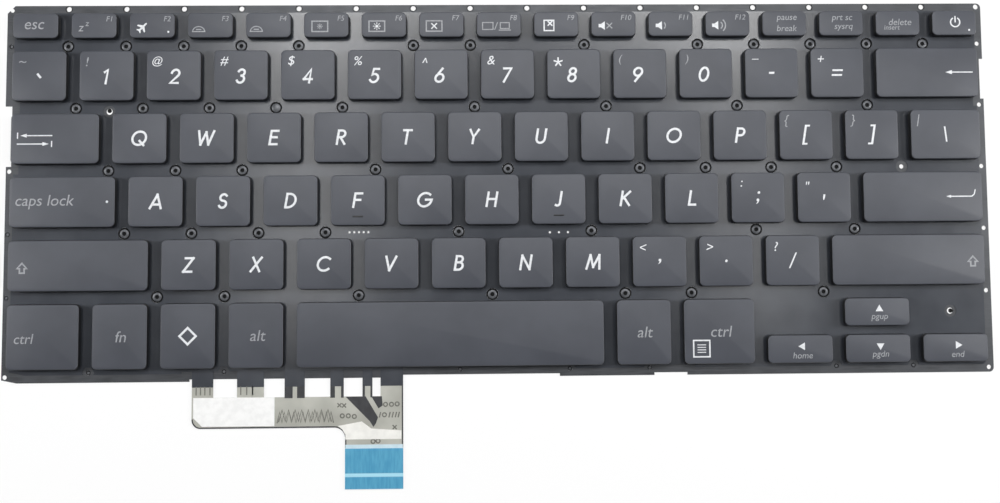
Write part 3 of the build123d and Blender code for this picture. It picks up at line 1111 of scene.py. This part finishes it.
def wide_legend(name, width):
    left, right = -width / 2, width / 2
    hook = [(right - 10.6, 0), (right - 3.2, 0), (right - 2.5, 0.6), (right - 2.2, 1.8)]
    made = {
        "tab": lambda: tab_legend(width),
        "caps_lock": lambda: small("caps lock", word_height, left + 1.9, 0, "start") + dot(right - 2.3, 0),
        "left_shift": lambda: faint(shift_sign(left + 4.1, -0.6)),
        "right_shift": lambda: faint(shift_sign(right - 3.6, -0.6)),
        "left_ctrl": lambda: small("ctrl", 0.9 * word_height, left + 2.3, -0.4, "start"),
        "fn": lambda: small("fn", word_height, 0.4),
        "plain": lambda: stroke([(0, 2.3), (-2.3, 0), (0, -2.3), (2.3, 0)], 0.6, True),
        "left_alt": lambda: small("alt", word_height, 0.6),
        "right_alt": lambda: small("alt", word_height, 0.3),
        "right_ctrl": lambda: small("ctrl", word_height, 0.6, 0) + menu_sign(left + 5.0, -4.8),
        "enter": lambda: line_arrow(hook),
        "backspace": lambda: line_arrow([(right - 9.6, 0), (right - 1.8, 0)], fine, 1.2),
        "arrow_left": lambda: arrow_key(90, "home"),
        "arrow_up": lambda: arrow_key(0, "pgup"),
        "arrow_down": lambda: arrow_key(180, "pgdn"),
        "arrow_right": lambda: arrow_key(270, "end"),
    }
    return made[name]() if name in made else []


def key_legend(name, width):
    return letter_legend(name, width) + wide_legend(name, width)


print("word height", word_height, "mm")

# %% [markdown]
# The function row has a small picture on the left of each key and its number in the upper right corner. The
# photograph shows only a few pixels of each picture, so they stay simple: the signs above and a few more.

# %% Legends of the function row
number_height = 1.5
picture_x = -3.3
picture_y = -0.5


def lit_board(x, y):
    """Key lighting: a low arch of light over a board."""
    foot = y - 1.35
    arch = [(px, 0.85 * py) for px, py in arc(0, 0, 1.7, 0, 180)]
    board = lines(x, foot, 0.3, [(-1.75, 0), (1.75, 0)], [(-0.6, 0.6), (0.6, 0.6)])
    return board + lines(x, foot, 0.28, arch)


def screen(x, y, inside):
    """A screen with a mark in it."""
    return faint(box_line(x, y, 4.5, 3.0, 0.36)) + inside


def two_screens(x, y):
    first = box_line(x - 1.4, y, 3.0, 2.0, 0.28) + lines(x, y, 0.25, [(0.6, -1.0), (1.4, 1.0)])
    second = box_line(x + 3.5, y + 0.1, 2.6, 1.7, 0.28) + lines(x, y, 0.28, [(1.9, -1.2), (5.1, -1.2)])
    return first + second


def sleep_sign(x, y):
    return words("z", 2.4, x - 0.3, y - 0.4) + words("z", 1.7, x + 1.4, y + 0.9)


def function_legend(name, width):
    x, y = picture_x, picture_y
    pictures = {
        "f1": lambda: faint(sleep_sign(x, y)),
        "f2": lambda: plane_sign(x + 0.6, y) + dot(width / 2 - 1.9, -1.9, 0.3),
        "f3": lambda: faint(lit_board(x, y)),
        "f4": lambda: faint(lit_board(x - 0.1, y)),
        "f5": lambda: screen(x + 1.5, y + 0.05, faint(sun(x + 1.5, y + 0.05, 0.6))),
        "f6": lambda: screen(x + 1.3, y + 0.05, sun(x + 1.3, y + 0.05, 0.85)),
        "f7": lambda: screen(x + 1.2, y + 0.05, cross(x + 1.2, y + 0.05, 0.7)),
        "f8": lambda: faint(two_screens(x + 1.5, y)),
        "f9": lambda: box_line(x + 1.2, y + 0.1, 2.8, 3.0, 0.36) + cross(x + 1.5, y + 0.7, 0.55, 0.36),
        "f10": lambda: speaker(x + 0.4, y) + faint(cross(x + 2.1, y, 0.7, 0.3)),
        "f11": lambda: speaker(x + 0.4, y) + faint(stroke(arc(x + 0.6, y, 1.2, -40, 40), 0.3)),
        "f12": lambda: speaker(x + 0.2, y) + faint(stroke(arc(x + 0.6, y, 1.2, -45, 45), 0.34)
                                               + stroke(arc(x + 0.6, y, 2.1, -45, 45), 0.34)),
        "esc": lambda: small("esc", word_height, -0.3),
        "pause": lambda: small("pause", 1.8, 0.7, 1.3) + small("break", 1.8, 0.7, -1.4),
        "print": lambda: small("prt sc", 1.8, 0.3, 1.3) + small("sysrq", 1.8, 0.7, -1.4),
        "delete": lambda: small("delete", 1.9, 0.7, 0.3) + small("insert", 1.4, -1.7, -1.3),
        "power": lambda: power_sign(0.3, 0.2) + dot(width / 2 - 2.2, -2.1, 0.3),
    }
    is_numbered = name[1:].isdigit()
    number = small(name.upper(), number_height, width / 2 - 1.3, 1.9, "end") if is_numbered else []
    return pictures[name]() + number


print("number height", number_height, "mm")

# %% [markdown]
# ## All 81 keys
# The frame gives every cap's box. The two rear rows are groups of fixed caps, so their solids are told apart
# from left to right.

# %% Build the fixed keys
bar_inset = 2.6 * mm
ink_sink = 1.2 * ink_height


def add_homing_bar(build, x, front, low, high):
    """The short raised bar near the front edge of F and of J, which tells the fingers where they are."""
    length, width, ease = 3.0 * mm, 0.45 * mm, 0.08 * mm
    y = front + bar_inset
    add_loft(build, x, y, [
        (length, width, width / 2, low - 2 * ink_height, 0), (length, width, width / 2, high - ease, 0),
        (length - ease, width - ease, (width - ease) / 2, high - ease / 4, 0.1),
        (length - 3 * ease, width - 3 * ease, (width - 3 * ease) / 2, high, 0.2)])


def cap_piece(name, low, high, legend, body, node):
    build = bmesh.new()
    top = Vector((high.x, high.y, min(high.z, cap_top)))
    add_cap(build, low, top)
    middle = (low + high) / 2
    if high.z > cap_top:
        add_homing_bar(build, middle.x, low.y, cap_top, high.z)
    add_ink(build, legend, middle.x, middle.y, cap_top - ink_sink, cap_top)
    add_piece(name, mesh_from(build, name), [plastic, ink, pale_ink], body, "keycap", node)


cap_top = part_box("key_g")[1].z
function_names = ["esc"] + [f"f{n}" for n in range(1, 13)] + ["pause", "print", "delete", "power"]
number_names = ["backtick", *"1234567890", "minus", "equal", "backspace"]
for node, names, legend_of in (("function_row_keys", function_names, function_legend),
                               ("number_row_keys", number_names, key_legend)):
    caps = solids(node)
    for name, cap in zip(names, caps):
        legend = legend_of(name, (cap.high.x - cap.low.x) / mm)
        cap_piece(f"{name}_cap", cap.low, cap.high, legend, "base", node)
    lift_pieces(node.replace("_keys", ""), [(cap.low, cap.high) for cap in caps])
    print(node, len(caps))

# %% [markdown]
# Every other key has a body of its own: its cap rides on it, and the parts under it get a mesh of their own.

# %% Build the moving keys
moving = [node for node in sorted(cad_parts) if node.startswith("key_")]
for node in moving:
    name = node.removeprefix("key_")
    low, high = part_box(node)
    legend = key_legend(name, (high.x - low.x) / mm)
    cap_piece(f"{name}_cap", low, high, legend, f"{name}_key", node)
    for piece in lift_pieces(name, [(low, high)]):
        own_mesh(piece)
print("moving keys", len(moving))

# %% [markdown]
# ## The tail
# The film leaves the front edge in six fingers, which join in a band and end in a narrow neck. A white paper
# label lies on the left of the band, and a blue stiffener on the contact end. Both are thin flat sheets with
# the outline of their solids, so the same sheet maker serves.

# %% Label and stiffener
line_rise = 3.9
line_half = 0.5


def blue_film():
    finish = Finish("blue_film")
    streaks = finish.noise(0.5, 2.0, (1, 0.12, 1))
    low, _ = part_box("tail_stiffener")
    middle = low.y / mm + line_rise
    line = finish.band(1, middle - line_half, middle + line_half)
    blue = finish.blend(streaks, (72, 146, 182), (86, 160, 192))
    return finish.surface(finish.mix(line, blue, linear(164, 215, 233)), streaks, (0.30, 0.42), 0.004)


label_paper = grained("label_paper", (232, 232, 231), (240, 240, 239), 1.5, 0.12, 0.01, 0.75)
for node, slot, finish in (("tail_label", "label", label_paper),
                           ("tail_stiffener", "stiffener", blue_film())):
    low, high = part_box(node)
    mesh = pierced_sheet(f"{node}_sheet", loops(node), low.z, high.z)
    add_piece(f"{node}_sheet", mesh, [finish], "base", slot, node)
    print(node, len(mesh.polygons), "faces")

# %% [markdown]
# The bare tail shows the print of its layers. Strips of black coat run on along the middle fingers and end in
# two pointed patches, short marks stand on the band, and the neck is white before a pale strip at the
# stiffener. A dark line along the band's front edge and the neck's sides is painted shadow of the tail, which
# lifts a little off the table. They are thin slabs like the legends. The fingers' edges come from the windows
# between them, and the marks are plain strokes that say nothing.

# %% Print on the tail
print_height = 0.006 * mm
band_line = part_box("tail_label")[1].y / mm
mark_line = 0.36
edge_shadow_width = 0.4
stiffener_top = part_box("tail_stiffener")[1].y / mm
neck_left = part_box("tail_stiffener")[0].x / mm
film_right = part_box("tail_stiffener")[1].x / mm
windows.sort()
gaps = [(min(x for x, y in loop) / mm, max(x for x, y in loop) / mm) for loop in windows]
middle_fingers = [(left[1], right[0]) for left, right in zip(gaps, gaps[1:])]


def strip(left, right, top, bottom):
    return patch(rectangle(left, right, bottom, top))


def black_print():
    """Coat along both edges of the middle fingers, and the two patches that it runs into."""
    made = []
    edge_shares = ((0.40, 0.62), (0.35, 0.80), (0.25, 0.80))
    for (left, right), (first, second) in zip(middle_fingers[1:], edge_shares):
        width = right - left
        made += strip(left, left + first * width, coat_end + 0.1, band_line - 0.3)
        made += strip(left + second * width, right, coat_end + 0.1, band_line - 0.3)
    made += patch([(-44.2, -59.0), (-37.4, -65.9), (-36.3, -67.6), (-35.6, -66.6), (-35.0, -64.9),
                   (-38.5, -59.0)])
    return made + patch([(-36.9, -59.0), (-34.9, -62.4), (-33.7, -61.6), (-33.9, -59.0)])


def zigzag(left, right, low, high, step):
    """Points that go up and down between two lines."""
    count = round((right - left) / step)
    return [(left + (right - left) * i / count, high if i % 2 else low) for i in range(count + 1)]


def band_marks():
    """Two crossing zigzag lines along the band, and rings, ticks and crosses near the neck."""
    made = stroke(zigzag(-63.4, -47.6, -66.1, -63.2, 0.66), mark_line)
    made += stroke(zigzag(-63.0, -48.2, -65.8, -62.6, 0.91), mark_line)
    for x, y in ((-45.1, -64.4), (-43.4, -64.4), (-41.7, -64.6), (-32.9, -61.3), (-31.2, -61.3),
                 (-29.6, -61.2), (-33.2, -64.2), (-36.4, -71.6), (-35.0, -71.5)):
        made += stroke(arc(x, y, 0.55, 0, 345, 15), mark_line, True)
    made += stroke(arc(-40.8, -68.1, 0.95, 0, 345, 19), mark_line, True)
    for x, y in ((-34.6, -64.8), (-31.9, -64.8), (-31.0, -64.8), (-30.1, -64.8), (-29.3, -64.8),
                 (-43.2, -69.0)):
        made += lines(x, y, mark_line, [(0, 0), (0.3, 1.2)])
    for x, y in ((-45.9, -61.4), (-44.6, -61.5), (-30.3, -67.7)):
        made += cross(x, y, 0.45, mark_line)
    return made


def painted_edge_shadow():
    """A painted shadow: a dark line along the band's front edge, round the inner corner and down both sides
    of the neck.
    """
    outline = [(x / mm, y / mm) for x, y in film_loops[0]]
    edge = sorted(p for p in outline if stiffener_top < p[1] < band_line - 0.1 and p[0] < neck_left + 0.1)
    right_edge = [(film_right, stiffener_top + edge_shadow_width), (film_right, coat_end)]
    return (stroke(edge + [(neck_left, stiffener_top + edge_shadow_width)], edge_shadow_width, shift=edge_shadow_width / 2)
            + stroke(right_edge, edge_shadow_width, shift=edge_shadow_width / 2))


def finger_ticks():
    """Ticks of coat on the two left fingers, just before the label."""
    left_finger = (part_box("tail_label")[0].x / mm, gaps[0][0])
    made = []
    for left, right in (left_finger, middle_fingers[0]):
        for share in (0.14, 0.36, 0.58, 0.84):
            x = left + share * (right - left)
            made += stroke([(x, coat_end), (x, band_line + 0.9)], mark_line)
    return made


white_area = patch([(-46.4, -67.2), (-45.1, -68.2), (-44.2, -69.6), (-44.2, -71.0), (-28.4, -71.0),
                    (-28.4, -68.6), (-36.9, -68.0), (-39.6, -66.0)])
pale_strip = strip(-44.2, -28.0, stiffener_top + 1.1, stiffener_top)
build = bmesh.new()
# The black print finish also carries the painted shadow along the tail's edges.
prints = (white_area, pale_strip, black_print() + painted_edge_shadow(), band_marks() + finger_ticks())
for finish, marks in enumerate(prints):
    add_ink(build, marks, 0, 0, film_high.z - print_height, film_high.z + print_height, finish)
print_looks = {
    "white_print": ((226, 225, 220), (236, 235, 230), 2.0),
    "pale_blue_print": ((186, 208, 218), (198, 218, 227), 2.0),
    # Also used for the painted edge shadow.
    "black_print": ((44, 45, 48), (54, 55, 58), 2.0),
    "grey_print": ((92, 92, 86), (108, 108, 101), 1.0),
}
print_finishes = [grained(name, *look, 0.10, 0.004, 0.5) for name, look in print_looks.items()]
add_piece("tail_print", mesh_from(build, "tail_print"), print_finishes, "base", "film")
print("tail print finishes", len(print_finishes))
